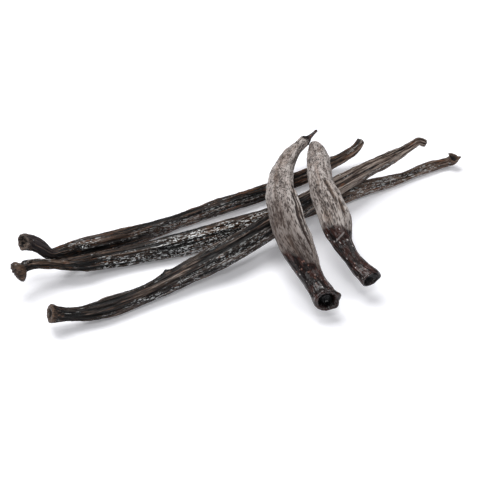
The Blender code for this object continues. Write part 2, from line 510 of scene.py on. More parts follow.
class PatternKit:
    """The node groups that the skins share, one for each kind of pattern."""

    _made: dict[type, bpy.types.NodeTree] = {}

    @classmethod
    def get(cls, kind: type) -> bpy.types.NodeTree:
        """The group that draws a kind of pattern, made when it is first asked for.

        Args:
            kind: Streaks, Specks or Creases, whose fields are the group's inputs.

        Returns:
            The group.
        """
        if kind not in cls._made:
            name = kind.__name__.lower()
            tree = bpy.data.node_groups.new(name, "ShaderNodeTree")
            tree.interface.new_socket(name="Place", in_out="INPUT", socket_type="NodeSocketVector")
            for field in fields(kind):
                tree.interface.new_socket(
                    name=field.name.title(), in_out="INPUT", socket_type="NodeSocketFloat")
            tree.interface.new_socket(name="Value", in_out="OUTPUT", socket_type="NodeSocketFloat")
            g = Graph(tree)
            given = {signal.socket.name: signal for signal in g.signals("NodeGroupInput")}
            g.add("NodeGroupOutput", {"Value": getattr(cls, name)(g, given)})
            cls._made[kind] = tree
        return cls._made[kind]

    @classmethod
    def streaks(cls, g: Graph, given: dict[str, Signal]) -> Signal:
        """Noise drawn out along the pod."""
        return g.noise(cls.drawn_out(g, given), given["Detail"])

    @classmethod
    def specks(cls, g: Graph, given: dict[str, Signal]) -> Signal:
        """A mask of separate specks.

        Args:
            g: the group's graph.
            given: the group's inputs.

        Returns:
            The mask.
        """
        cells = g.signals("ShaderNodeTexVoronoi", {"Vector": cls.drawn_out(g, given), "Scale": 1.0})
        distance, colour = cells[:2]
        lot, other_lot = g.signals("ShaderNodeSeparateColor", {"Color": colour})[:2]
        size = given["Size"] * (other_lot * 0.8 + 0.4)
        near = (1.0 - distance / size).clamped()
        return g.math("LESS_THAN", lot, given["Share"]) * near.ease(0.0, 0.5)

    @classmethod
    def creases(cls, g: Graph, given: dict[str, Signal]) -> Signal:
        """A mask of thin lines."""
        apart = g.math("ABSOLUTE", g.noise(cls.drawn_out(g, given), 1.0) - 0.5)
        return (1.0 - apart / given["Line"]).clamped()

    @staticmethod
    def drawn_out(g: Graph, given: dict[str, Signal]) -> Signal:
        """The place over the pattern's length and width, shifted and swayed.

        Args:
            g: the group's graph.
            given: the group's inputs.

        Returns:
            Where to read the noise.
        """
        sizes = {0: given["Length"], 1: given["Width"], 2: given["Width"]}
        scaled = g.vector("DIVIDE", given["Place"], g.signals("ShaderNodeCombineXYZ", sizes)[0])
        shifted = g.vector("ADD", scaled, given["Shift"])
        sway = g.signals("ShaderNodeTexNoise", {"Vector": shifted, "Scale": SWAY_SCALE, "Detail": 1.0})[1]
        return g.vector("ADD", shifted, g.vector("MULTIPLY", sway, (SWAY, SWAY, SWAY)))


class SkinInputs:
    """What every skin reads from the pod's mesh, and the masks and patterns made of it."""

    PATCH_EDGE = Streaks(9.0, 1.3, 71.0)

    def __init__(self, graph: Graph, shift: float) -> None:
        """Adds the attribute nodes, and keeps which part of the noise is this skin's own."""
        self.graph = graph
        self.shift = shift
        self.place = graph.attribute("straight", "Vector")
        self.along, self.side, self.height = graph.signals("ShaderNodeSeparateXYZ", {0: self.place})
        self.relief = graph.attribute("relief")
        self.fold = graph.attribute("fold")
        self.hollow = graph.attribute("hollow")
        self.rim = graph.attribute("rim")

    def pattern(self, pattern: Streaks | Specks | Creases, further: float = 0.0) -> Signal:
        """Draws a pattern.

        Args:
            pattern: its kind and sizes.
            further: moves it to yet another part of the noise.

        Returns:
            The noise's value, or the mask.
        """
        inputs = {name.title(): value for name, value in vars(pattern).items()}
        inputs["Shift"] += self.shift + further
        inputs["Place"] = self.place
        tree = PatternKit.get(type(pattern))
        return self.graph.signals("ShaderNodeGroup", inputs, node_tree=tree)[0]

    def tone(self, parts: tuple[tuple[Signal, float], ...], relief: float) -> Signal:
        """How light the skin is.

        Args:
            parts: patterns, and the weight of each about its middle value.
            relief: the weight of what stands out, which paints raised skin lighter and sunken skin darker:
                painted light and shade.

        Returns:
            The tone, about 0.5 on average.
        """
        tone = self.relief * relief + 0.5
        for pattern, weight in parts:
            tone = (pattern - 0.5) * weight + tone
        return tone

    def patch(self, shine: Shine, number: int) -> Signal:
        """A mask with ragged edges over one stretch of one side of the pod.

        Args:
            shine: where the patch is.
            number: the patch's number on the pod.

        Returns:
            The mask.
        """
        g = self.graph
        ragged = self.pattern(self.PATCH_EDGE, number) - 0.5
        along = ragged * (2 * SHINE_FADE) + self.along
        rise = along.ease(shine.start, shine.start + SHINE_FADE)
        fall = along.ease(shine.end - SHINE_FADE, shine.end)
        angle = math.radians(shine.angle)
        outward = g.vector("NORMALIZE", g.vector("MULTIPLY", self.place, (0.0, 1.0, 1.0)))
        facing = g.dot(outward, (0.0, math.cos(angle), math.sin(angle))) + ragged
        edge = math.cos(math.radians(shine.spread))
        return rise * (1.0 - fall) * facing.ease(edge - SHINE_EDGE, edge + SHINE_EDGE)

    def scratch(self, mark: Scratch) -> Signal:
        """A mask over a thin straight scratch on the pod's upper side.

        Args:
            mark: where the scratch is.

        Returns:
            The mask.
        """
        g = self.graph
        start, end = Vector((*mark.start, 0.0)), Vector((*mark.end, 0.0))
        length = (end - start).length
        way = (end - start).normalized()
        from_start = g.vector("SUBTRACT", self.place, tuple(start))
        far = g.dot(from_start, tuple(way))
        aside = g.math("ABSOLUTE", g.dot(from_start, (-way.y, way.x, 0.0)))
        ends = far.ease(0.0, SCRATCH_FADE) * (1.0 - far.ease(length - SCRATCH_FADE, length))
        line = 1.0 - aside.ease(0.3 * mark.width, mark.width)
        return ends * line * g.math("GREATER_THAN", self.height, 0.0)


def new_material(name: str) -> tuple[bpy.types.Material, Graph]:
    """Makes an empty material.

    Args:
        name: its name.

    Returns:
        The material, and a graph on its nodes.
    """
    material = bpy.data.materials.new(name)
    material.use_nodes = True
    return material, Graph(material.node_tree)


@dataclass(frozen=True)
class WaxySkin:
    """Dark, waxy skin with paler ridges (partly painted light), warm streaks, and glossier patches with
    pale painted glints (painted highlights).
    """

    name: str
    shift: float
    # The furrow stop is reached in dark streaks and, through the relief, in sunken skin, where it is partly
    # painted shade.
    furrow: Colour = linear(9, 5, 4)
    body: Colour = linear(37, 25, 18)
    # The crest and pale stops are reached on paler streaks and, through the relief, on raised skin, where
    # they are partly painted light.
    crest: Colour = linear(77, 60, 49)
    pale: Colour = linear(122, 104, 92)
    warm: Colour = linear(104, 66, 42)
    # Painted highlight: the colour of the painted glints.
    speck: Colour = linear(238, 241, 241)
    rim: Colour = linear(96, 76, 62)
    # Painted shade: the near-black colour inside the cupped ends.
    hollow: Colour = linear(12, 9, 10)
    grey: Colour = linear(54, 49, 52)
    shines: tuple[Shine, ...] = ()
    warm_least: float = 0.62  # the least noise that makes a warm streak
    lift: float = 0.0  # makes all of it lighter
    patchy: float = 0.7  # how uneven its broad patches are
    dusty_from: float = 1000.0  # past here it is lighter still, by dusty
    dusty: float = 0.0
    pitted: float = 0.0  # how much of the hollow is as pale as its rim
    grey_to: float = -10.0  # up to here from the foot it is a cooler, even grey

    BROAD = Streaks(30.0, 3.0, 0.0)
    RIDGE = Streaks(30.0, 0.5, 7.0, 1.0)
    FINE = Streaks(4.0, 0.32, 3.0, 3.0)
    CREASE = Creases(40.0, 1.1, 31.0, 0.04)
    WARM = Streaks(11.0, 0.8, 11.0)
    BANDS = Streaks(24.0, 1.4, 19.0)
    # Painted glints: pale dashes and dots, in clusters, that stand in for highlights.
    PAINTED_GLINT_DASHES = Specks(2.2, 0.5, 43.0, 0.56, 0.75)
    DOTS = Specks(0.9, 0.42, 47.0, 0.55, 0.7)
    PAINTED_GLINT_CLUSTERS = Streaks(3.0, 1.2, 53.0)
    MOTTLE = Streaks(1.1, 1.1, 61.0)

    def shine(self, skin: SkinInputs) -> Signal:
        """Where the skin is glossier and carries painted glints: the patches, and thin bands elsewhere.

        Args:
            skin: what the mesh carries.

        Returns:
            How glossy it is and how much painted glint it may carry, from 0 to 1.
        """
        bands = skin.pattern(self.BANDS)
        shine = bands.ease(0.58, 0.66) * 0.5
        for number, patch in enumerate(self.shines):
            shine = shine.most(skin.patch(patch, number) * (bands.ease(0.3, 0.42) * patch.amount))
        return shine

    def base(self, g: Graph, skin: SkinInputs, tone: Signal) -> Signal:
        """The skin's colour before its glints.

        Args:
            g: the material's graph.
            skin: what the mesh carries.
            tone: how light the skin is.

        Returns:
            The colour.
        """
        stops = ((0.34, self.furrow), (0.52, self.body), (0.72, self.crest), (0.95, self.pale))
        grey = 1.0 - skin.along.ease(self.grey_to, self.grey_to + GREY_FADE)
        warm = skin.pattern(self.WARM).ease(self.warm_least, self.warm_least + 0.08)
        warm = warm * tone.ease(0.35, 0.6) * (1.0 - grey)
        colour = g.mix(grey * 0.5, g.ramp(tone, stops), self.grey)
        return g.mix(warm * 0.8, colour, self.warm)

    def painted_glints(self, skin: SkinInputs, tone: Signal, shine: Signal) -> Signal:
        """A mask of painted glints (painted highlights), in clusters where the skin shines and is light.

        Args:
            skin: what the mesh carries.
            tone: how light the skin is.
            shine: where it is glossier and may carry painted glints.

        Returns:
            The mask.
        """
        painted_glints = skin.pattern(self.PAINTED_GLINT_DASHES).most(skin.pattern(self.DOTS))
        return painted_glints * shine * tone.ease(0.18, 0.42) * skin.pattern(self.PAINTED_GLINT_CLUSTERS).ease(0.28, 0.5)

    def material(self) -> bpy.types.Material:
        """The finish as a Blender material.

        Returns:
            The material.
        """
        material, g = new_material(self.name)
        skin = SkinInputs(g, self.shift)
        ridge, fine, crease = (skin.pattern(part) for part in (self.RIDGE, self.FINE, self.CREASE))
        # The crease's negative weight darkens the thin creases, which the bump also sinks: painted shade.
        parts = ((skin.pattern(self.BROAD), self.patchy), (ridge, 1.1), (fine, 0.9), (crease, -0.25))
        dust = skin.along.ease(self.dusty_from, self.dusty_from + DUST_FADE)
        # The relief weight paints raised skin lighter and sunken skin darker: painted light and shade.
        tone = skin.tone(parts, 0.35) + dust * self.dusty + self.lift
        shine = self.shine(skin)
        painted_glints = self.painted_glints(skin, tone, shine)
        # Painted highlights: the glints are painted in the pale glint colour.
        colour = g.mix(painted_glints, self.base(g, skin, tone), self.speck)
        colour = g.mix(skin.rim * fine.ease(0.35, 0.6), colour, self.rim)
        mottle = skin.pattern(self.MOTTLE).ease(0.42, 0.58)
        # Painted shade: the hollows are painted near black, save where mottled as pale as the rim.
        colour = g.mix(skin.hollow, colour, g.mix(mottle * self.pitted, self.hollow, self.rim))
        height = fine * 0.6 + ridge * 0.6 + crease * -0.5 + painted_glints * 0.4
        bump = g.signals("ShaderNodeBump", {"Height": height, "Strength": 0.9, "Distance": 0.4 * MM})[0]
        g.dress({
            "Base Color": colour,
            "Roughness": fine * 0.3 + 0.36 + shine * -0.27 + skin.hollow * 0.3,
            "Normal": bump,
            "Specular IOR Level": 0.3,
        })
        return material


@dataclass(frozen=True)
class BloomSkin:
    """Dry grey-brown bloom with dark specks, and a glossy red-brown stretch towards the foot."""

    name: str
    shift: float
    gloss_end: float  # how far from the foot the glossy stretch ends, in millimetres
    gloss_slant: float  # how much further for each millimetre to the side
    shade: float  # how much darker the bloom gets towards the glossy stretch
    stem_start: float  # how far from the foot the dark stem starts
    scratches: tuple[Scratch, ...] = ()
    light: Colour = linear(186, 178, 173)
    middle: Colour = linear(168, 159, 154)
    edge: Colour = linear(118, 108, 102)
    brown: Colour = linear(134, 112, 98)
    brown_dark: Colour = linear(56, 41, 34)
    dark: Colour = linear(36, 27, 24)
    gloss: Colour = linear(22, 12, 10)
    gloss_red: Colour = linear(56, 33, 27)
    speck: Colour = linear(138, 104, 93)
    # Painted highlight: the colour of the pale glints on the glossy stretch, and of the scratches.
    painted_glint: Colour = linear(190, 182, 180)
    rim: Colour = linear(44, 34, 33)
    # Painted shade: the near-black colour inside the cupped end.
    hollow: Colour = linear(9, 8, 11)

    BROAD = Streaks(14.0, 5.0, 0.0)
    RIDGE = Streaks(12.0, 0.8, 7.0)
    FINE = Streaks(1.6, 0.42, 3.0, 3.0)
    BROWN = Streaks(12.0, 4.0, 51.0)
    SMALL_PITS = Specks(1.7, 0.55, 5.0, 0.5, 0.8)
    LARGE_PITS = Specks(3.6, 0.9, 9.0, 0.44, 0.8)
    CREASE = Creases(10.0, 1.3, 31.0, 0.025)
    CREASED = Streaks(8.0, 3.0, 37.0)
    REDDENED = Streaks(4.0, 2.2, 17.0, 3.0)
    SPOTS = Specks(1.1, 0.8, 13.0, 0.4, 0.12)
    PAINTED_GLINTS = Specks(1.5, 0.9, 47.0, 0.34, 0.14)
    DRY_EDGE = Streaks(2.6, 3.4, 29.0, 3.0)
    GRAIN = Streaks(1.2, 0.5, 23.0, 3.0)
    BLOBS = Streaks(1.9, 1.3, 27.0, 1.0)

    def bloom(self, g: Graph, skin: SkinInputs, pits: Signal) -> Signal:
        """The dry part's colour.

        Args:
            g: the material's graph.
            skin: what the mesh carries.
            pits: the mask of pits and creases.

        Returns:
            The colour.
        """
        weights = ((self.RIDGE, 0.42), (self.FINE, 0.75), (self.BROAD, 0.1))
        # The relief weight paints raised skin lighter and sunken skin darker: painted light and shade.
        tone = skin.tone(tuple((skin.pattern(part), weight) for part, weight in weights), 0.36)
        # Painted shade: the pressed-in folds are darkened.
        tone = skin.fold * -0.42 + tone
        stops = ((0.18, self.dark), (0.34, self.edge), (0.5, self.middle), (0.72, self.light))
        brown = skin.pattern(self.BROWN).ease(0.52, 0.64)
        colour = g.mix(brown * 0.3, g.ramp(tone, stops), self.brown)
        colour = g.mix(pits * 0.88, colour, self.dark)
        lower = 1.0 - skin.along.ease(self.gloss_end, self.gloss_end + SHADE_LENGTH)
        lower = (lower * (skin.side * 0.12 + 1.0)).clamped()
        return g.mix(lower * self.shade, colour, self.brown_dark)

    def pits(self, skin: SkinInputs) -> Signal:
        """A mask of the dry part's pits, and of its creases in some places; the creases darkened with the
        pits are painted shade.

        Args:
            skin: what the mesh carries.

        Returns:
            The mask.
        """
        crease = skin.pattern(self.CREASE) * skin.pattern(self.CREASED).ease(0.38, 0.5)
        return skin.pattern(self.SMALL_PITS).most(skin.pattern(self.LARGE_PITS)).most(crease)

    def wet(self, g: Graph, skin: SkinInputs) -> Signal:
        """The glossy part's colour.

        Args:
            g: the material's graph.
            skin: what the mesh carries.

        Returns:
            The colour.
        """
        colour = g.mix(skin.pattern(self.REDDENED).ease(0.42, 0.62), self.gloss, self.gloss_red)
        colour = g.mix(skin.pattern(self.SPOTS) * 0.7, colour, self.speck)
        # Painted highlights: pale glints painted on the glossy stretch; the scratches, real marks, are
        # drawn in the same colour.
        painted_glints = skin.pattern(self.PAINTED_GLINTS)
        for scratch in self.scratches:
            painted_glints = painted_glints.most(skin.scratch(scratch) * 0.35)
        return g.mix(painted_glints, colour, self.painted_glint)

    def dryness(self, skin: SkinInputs) -> Signal:
        """Where the skin is dry: past the glossy stretch, and short of the stem.

        Args:
            skin: what the mesh carries.

        Returns:
            The mask.
        """
        ragged = (skin.pattern(self.DRY_EDGE) - 0.5) * 6.0 + skin.along
        past = skin.side * -self.gloss_slant + ragged
        dry = past.ease(self.gloss_end - 0.8, self.gloss_end + 1.5)
        return dry * (1.0 - ragged.ease(self.stem_start - 0.8, self.stem_start + 0.8))

    def material(self) -> bpy.types.Material:
        """The finish as a Blender material.

        Returns:
            The material.
        """
        material, g = new_material(self.name)
        skin = SkinInputs(g, self.shift)
        dry = self.dryness(skin)
        pits = self.pits(skin)
        grain = skin.pattern(self.GRAIN)
        colour = g.mix(dry, self.wet(g, skin), self.bloom(g, skin, pits))
        colour = g.mix(skin.rim * grain.ease(0.4, 0.7), colour, self.rim)
        # Painted shade: the hollow of the cupped end is painted near black.
        colour = g.mix(skin.hollow, colour, self.hollow)
        height = grain * 0.5 + skin.pattern(self.BLOBS) * 0.8 + pits * (dry * -0.6)
        bump = g.signals("ShaderNodeBump", {"Height": height, "Strength": 0.8, "Distance": 0.35 * MM})[0]
        g.dress({
            "Base Color": colour,
            "Roughness": dry * 0.5 + grain * 0.25 + 0.12,
            "Normal": bump,
            "Specular IOR Level": 0.4,
        })
        return material


def select_only(obj: bpy.types.Object) -> None:
    """Makes one object the selected and active one."""
    bpy.ops.object.select_all(action="DESELECT")
    obj.select_set(True)
    bpy.context.view_layer.objects.active = obj


@contextmanager
def edit_mode(obj: bpy.types.Object) -> Iterator[None]:
    """Opens one object alone in edit mode for the steps inside.

    Args:
        obj: the object.
    """
    select_only(obj)
    bpy.ops.object.mode_set(mode="EDIT")
    yield
    bpy.ops.object.mode_set(mode="OBJECT")


def select_vertices(obj: bpy.types.Object, numbers: Iterable[int]) -> None:
    """Selects some vertices and no others.

    Args:
        obj: the object, in edit mode.
        numbers: the vertices' numbers.
    """
    chosen = set(numbers)
    mesh = bmesh.from_edit_mesh(obj.data)
    for vertex in mesh.verts:
        vertex.select = vertex.index in chosen
    mesh.select_flush(False)
    mesh.select_flush(True)
    bmesh.update_edit_mesh(obj.data)


def scale_section(side: float, up: float) -> None:
    """Scales what is selected of a straight pod, out from its middle line."""
    bpy.ops.transform.resize(value=(1, side, up), center_override=(0, 0, 0))


def apply_modifier(obj: bpy.types.Object, kind: str, **settings: object) -> None:
    """Adds a modifier and applies it.

    Args:
        obj: the object to change.
        kind: the modifier's Blender type.
        settings: its properties.
    """
    select_only(obj)
    modifier = obj.modifiers.new(kind.title(), kind)
    for key, value in settings.items():
        setattr(modifier, key, value)
    bpy.ops.object.modifier_apply(modifier=modifier.name)


def read_points(obj: bpy.types.Object) -> np.ndarray:
    """The places of an object's vertices.

    Args:
        obj: the object, in object mode.

    Returns:
        Rows of x, y and z in metres.
    """
    points = np.empty(len(obj.data.vertices) * 3, np.float32)
    obj.data.vertices.foreach_get("co", points)
    return points.reshape(-1, 3)


def write_attribute(obj: bpy.types.Object, name: str, values: np.ndarray) -> None:
    """Stores a number or a vector for each vertex, for the skins.

    Args:
        obj: the object.
        name: the attribute's name.
        values: a number for each vertex, or a row of three.
    """
    is_vector = values.ndim == 2
    attribute = obj.data.attributes.new(name, "FLOAT_VECTOR" if is_vector else "FLOAT", "POINT")
    attribute.data.foreach_set("vector" if is_vector else "value", values.astype(np.float32).ravel())


@dataclass
class Pod:
    """One pod of the bundle."""

    name: str
    lie: tuple[Station, ...]
    foot: PodEnd
    tip: PodEnd
    furrow: float  # how deep its deepest furrows are, over the radius
    twist: float  # how far its ridges wind round it, in degrees
    seed: int
    skin: WaxySkin | BloomSkin
    wrinkles: tuple[Wrinkle, ...]
    folds: tuple[Fold, ...] = ()
    lumps: tuple[Pull, ...] = ()

    def __post_init__(self) -> None:
        """Works out the middle line and its length."""
        self.line = MiddleLine(self.lie)
        self.length = self.line.length

    def rings(self) -> list[tuple[float, float, float, float]]:
        """The rings of the whole pod, foot first.

        Returns:
            Each ring's place and radius, and how far it is in a hollow and on a rim.
        """
        foot = [(ring.inward, ring.share, ring.hollow, ring.rim) for ring in self.foot.rings]
        tip = [(self.length - ring.inward, ring.share, ring.hollow, ring.rim) for ring in self.tip.rings]
        first, last = foot[-1][0], tip[-1][0]
        count = round((last - first) / RING_GAP)
        body = [(first + (last - first) * i / count, 1.0, 0.0, 0.0) for i in range(1, count)]
        every = [*foot, *body, *reversed(tip)]
        return [
            (place, share * self.line.girth(place) / 2, hollow, rim) for place, share, hollow, rim in every
        ]

    def loft(self) -> bpy.types.Object:
        """Extrudes the straight, round pod from ring to ring and closes its ends.

        Returns:
            The pod, with its hollows and rims marked.
        """
        rings = self.rings()
        place, radius = rings[0][:2]
        bpy.ops.object.select_all(action="DESELECT")
        bpy.ops.mesh.primitive_circle_add(
            vertices=CORNERS, radius=radius * MM, location=(place * MM, 0, 0), rotation=(0, math.pi / 2, 0))
        pod = bpy.context.object
        pod.name = self.name + "_skin"
        pod.data.name = pod.name
        bpy.ops.object.transform_apply(location=True, rotation=True, scale=True)
        with edit_mode(pod):
            bpy.ops.mesh.select_mode(type="VERT")
            bpy.ops.mesh.select_all(action="SELECT")
            for (before, small, *_), (place, radius, *_) in zip(rings, rings[1:]):
                step = (place - before) * MM
                bpy.ops.mesh.extrude_edges_move(TRANSFORM_OT_translate={"value": (step, 0, 0)})
                share = radius / small
                bpy.ops.transform.resize(value=(1, share, share), center_override=(place * MM, 0, 0))
            bpy.ops.mesh.select_all(action="SELECT")
            bpy.ops.mesh.fill_holes(sides=0)
            bpy.ops.mesh.select_all(action="SELECT")
            bpy.ops.mesh.normals_make_consistent(inside=False)
        hollow = np.repeat([ring[2] for ring in rings], CORNERS)
        rim = np.repeat([ring[3] for ring in rings], CORNERS)
        write_attribute(pod, "hollow", hollow)
        write_attribute(pod, "rim", rim)
        loose = pod.vertex_groups.new(name=LOOSE_SKIN)
        for number, stiff in enumerate(np.maximum(hollow, rim)):
            loose.add([number], 1.0 - END_STIFFNESS * stiff, "REPLACE")
        return pod

    def column_shares(self) -> list[float]:
        """How far each column of corners keeps out from the middle.

        Returns:
            A share of the radius for each column, round the pod.
        """
        draw = random.Random(self.seed)
        depths = [draw.uniform(FURROW_LEAST, 1.0) for _ in range(RIDGES)]
        shares = []
        for corner in range(CORNERS):
            angle = math.tau * corner / CORNERS
            ridge, part = divmod(corner, len(FURROW_FORM))
            lobe = LOBE * math.cos(LOBES * angle)
            shares.append(1 + lobe - self.furrow * depths[ridge] * FURROW_FORM[part])
        return shares

    def draw_in_furrows(self, pod: bpy.types.Object) -> None:
        """Draws whole columns of corners in towards the middle, less so near the ends.

        Args:
            pod: the straight, round pod.
        """
        points = read_points(pod)
        turns = np.arctan2(points[:, 2], points[:, 1]) / math.tau * CORNERS
        columns = np.round(turns).astype(int) % CORNERS
        shares = self.column_shares()
        with edit_mode(pod):
            for inward in FADE_PLACES:
                within = (points[:, 0] > inward * MM) & (points[:, 0] < (self.length - inward) * MM)
                for column, share in enumerate(shares):
                    select_vertices(pod, np.flatnonzero(within & (columns == column)))
                    part = share ** (1 / len(FADE_PLACES))
                    scale_section(part, part)

    def flatten(self, pod: bpy.types.Object) -> None:
        """Spreads and slumps the section, as a soft pod does where it lies.

        Args:
            pod: the straight pod.
        """
        with edit_mode(pod):
            bpy.ops.mesh.select_all(action="SELECT")
            scale_section(SPREAD, SLUMP)

    def crease_folds(self, pod: bpy.types.Object) -> None:
        """Presses the deep folds in, each with a swollen shoulder on both sides.

        Args:
            pod: the straight pod.
        """
        points = read_points(pod)
        angles = np.degrees(np.arctan2(points[:, 2], points[:, 1]))
        pitch = 360.0 / CORNERS
        pressed = np.zeros(len(points))
        with edit_mode(pod):
            for fold, taper, (near, far, inward) in product(self.folds, FOLD_TAPERS, FOLD_STRIPS):
                start, end = fold.start + taper, fold.end - taper
                along = (points[:, 0] > start * MM) & (points[:, 0] < end * MM)
                apart = np.abs((angles - fold.angle + 180.0) % 360.0 - 180.0)
                chosen = along & (apart >= near * pitch) & (apart < far * pitch)
                if inward > 0.0:
                    pressed[chosen] += 1 / len(FOLD_TAPERS)
                select_vertices(pod, np.flatnonzero(chosen))
                share = 1 - fold.depth * inward / len(FOLD_TAPERS)
                scale_section(share, share)
        # How far each point is pressed in; the bloom skins darken it as painted shade.
        write_attribute(pod, "fold", pressed)

    def mark_form(self, pod: bpy.types.Object) -> None:
        """Keeps how far each point stands out from its ring's own oval, in millimetres.

        Args:
            pod: the straight pod.
        """
        points = read_points(pod)
        round_radius = np.hypot(points[:, 1] / SPREAD, points[:, 2] / SLUMP).reshape(-1, CORNERS)
        form = round_radius - round_radius.mean(axis=1, keepdims=True)
        write_attribute(pod, "form", form.ravel() / MM)

    def pull_spots(self, pod: bpy.types.Object, pulls: tuple[Pull, ...], at_tip: bool) -> None:
        """Pulls spots of the skin, measured from one end.

        Args:
            pod: the straight pod.
            pulls: the spots and where they go.
            at_tip: whether they are measured from the tip and not from the foot.
        """
        points = read_points(pod)
        outwards = 1.0 if at_tip else -1.0
        with edit_mode(pod):
            for pull in pulls:
                place = self.length - pull.inward if at_tip else pull.inward
                radius = self.line.girth(place) / 2
                across = (math.cos(math.radians(pull.angle)), math.sin(math.radians(pull.angle)))
                spot = np.array((place, radius * across[0], radius * across[1])) * MM
                select_vertices(pod, [np.argmin(np.linalg.norm(points - spot, axis=1))])
                move = (outwards * pull.along, pull.outward * across[0], pull.outward * across[1])
                bpy.ops.transform.translate(
                    value=[MM * part for part in move], use_proportional_edit=True,
                    proportional_edit_falloff="SMOOTH", proportional_size=pull.reach * MM)

    def turn_end(self, pod: bpy.types.Object, end: PodEnd, at_tip: bool) -> None:
        """Turns the face of an end, a share of the turn at each of a few rings, and roughens it.

        Args:
            pod: the straight pod.
            end: the form of the end.
            at_tip: whether it is the tip and not the foot.
        """
        points = read_points(pod)
        count = len(points) // CORNERS
        way = 1.0 if at_tip else -1.0
        with edit_mode(pod):
            for further in range(TURN_RINGS, 0, -1):
                rings = len(end.rings) + further - 1
                first, last = (count - rings, count) if at_tip else (0, rings)
                select_vertices(pod, range(first * CORNERS, last * CORNERS))
                hinge = first if at_tip else last - 1
                centre = points[hinge * CORNERS:(hinge + 1) * CORNERS].mean(axis=0)
                for axis, degrees in (("Z", way * end.turn_side), ("Y", -way * end.turn_up)):
                    bpy.ops.transform.rotate(
                        value=-math.radians(degrees) / TURN_RINGS, orient_axis=axis, center_override=centre)
            bpy.ops.transform.vertex_random(offset=end.bumpy * MM, uniform=1.0, normal=0.0, seed=self.seed)

    @staticmethod
    def wrinkle(pod: bpy.types.Object, wrinkle: Wrinkle, shift: float) -> None:
        """Displaces the loose skin by one scale of wrinkles.

        Args:
            pod: the straight pod.
            wrinkle: the scale.
            shift: how far along the noise this pod's wrinkles are.
        """
        texture = bpy.data.textures.new("wrinkle", "CLOUDS")
        texture.noise_scale = 1.0
        texture.noise_depth = 1
        texture.noise_type = "HARD_NOISE" if wrinkle.sharp else "SOFT_NOISE"
        ruler = bpy.data.objects.new("ruler", None)
        bpy.context.scene.collection.objects.link(ruler)
        ruler.scale = (wrinkle.length * MM, wrinkle.width * MM, wrinkle.width * MM)
        ruler.location = [-shift * size for size in ruler.scale]
        bpy.context.view_layer.update()
        apply_modifier(
            pod, "DISPLACE", texture=texture, texture_coords="OBJECT", texture_coords_object=ruler,
            strength=wrinkle.height * MM, mid_level=SHARP_LEVEL if wrinkle.sharp else SOFT_LEVEL,
            vertex_group=LOOSE_SKIN)
        bpy.data.objects.remove(ruler)
        bpy.data.textures.remove(texture)

    def raise_wrinkles(self, pod: bpy.types.Object) -> None:
        """Raises the skin's wrinkles, and keeps how high each point stands and where it was.

        Args:
            pod: the straight pod, smoothed.
        """
        before = read_points(pod)
        for number, wrinkle in enumerate(self.wrinkles):
            self.wrinkle(pod, wrinkle, self.seed * SEED_SHIFT + number * SCALE_SHIFT)
        after = read_points(pod)
        rise = np.hypot(after[:, 1], after[:, 2]) - np.hypot(before[:, 1], before[:, 2])
        form = np.empty(len(after), np.float32)
        pod.data.attributes["form"].data.foreach_get("value", form)
        # The skins paint raised skin lighter and sunken skin darker from the relief: painted light and
        # shade.
        relief = (form + rise / MM - RELIEF_MIDDLE) / RELIEF_RANGE
        write_attribute(pod, "relief", np.clip(relief, -1.0, 1.0))
        write_attribute(pod, "straight", before / MM)

    def bend(self, pod: bpy.types.Object) -> None:
        """Bends the straight pod along its middle line.

        Args:
            pod: the straight pod.
        """
        guide = self.line.curve(self.name + "_line")
        apply_modifier(pod, "CURVE", object=guide, deform_axis="POS_X")
        bpy.data.objects.remove(guide)

    def build(self) -> bpy.types.Object:
        """Makes the pod and sets it in the place of its solid.

        Returns:
            The finished pod.
        """
        pod = self.loft()
        self.draw_in_furrows(pod)
        twist = math.radians(self.twist)
        apply_modifier(pod, "SIMPLE_DEFORM", deform_method="TWIST", deform_axis="X", angle=twist)
        self.flatten(pod)
        self.crease_folds(pod)
        self.mark_form(pod)
        self.pull_spots(pod, self.lumps, at_tip=False)
        for end, at_tip in ((self.foot, False), (self.tip, True)):
            self.pull_spots(pod, end.pulls, at_tip)
            self.turn_end(pod, end, at_tip)
        apply_modifier(pod, "SUBSURF", levels=SMOOTH_LEVELS, render_levels=SMOOTH_LEVELS)
        self.raise_wrinkles(pod)
        self.bend(pod)
        select_only(pod)
        bpy.ops.object.shade_smooth()
        pod.data.materials.clear()
        pod.data.materials.append(self.skin.material())
        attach(pod, "root")
        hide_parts(self.name)
        log.info("%s: %d faces, %.0f mm long", pod.name, len(pod.data.polygons), self.length)
        return pod


